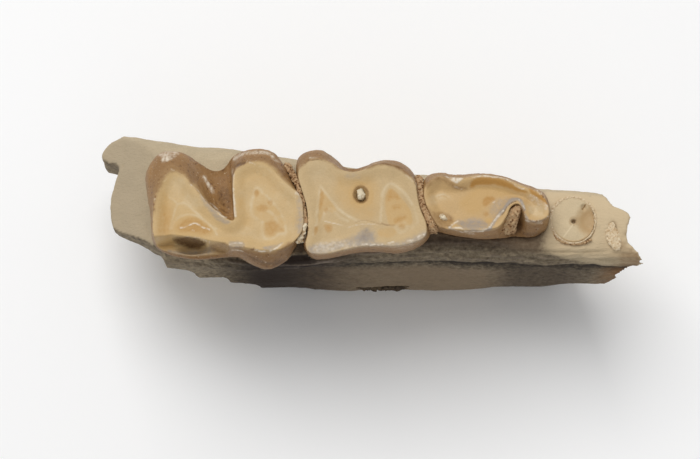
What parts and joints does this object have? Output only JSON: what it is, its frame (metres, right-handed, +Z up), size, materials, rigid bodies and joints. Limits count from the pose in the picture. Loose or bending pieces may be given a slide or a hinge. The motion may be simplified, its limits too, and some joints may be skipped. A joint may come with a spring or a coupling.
{
  "type": "fossil leptomeryx jaw section",
  "caption": "Broken block of a small fossil ruminant's left lower jaw, standing on its flat-worn lower border with its row of worn crescent-ridged cheek teeth up.",
  "frame": {"origin": "the middle of the bounding box seen from above, at the height of the flat on the lower border that it stands on", "axes": "+X forward along the jaw, +Y to the cheek side, +Z up to the chewing surfaces"},
  "size_m": [0.0274, 0.0078, 0.0113],
  "materials": {
    "bone": "matte, slightly rough",
    "molar": "satin, polished by wear",
    "premolar": "satin, polished by wear",
    "root": "satin, broken"
  },
  "bodies": {
    "root": {"jawbone": "bone", "second_molar": "molar", "first_molar": "molar", "last_premolar": "premolar", "broken_root": "root"}
  },
  "joints": []
}
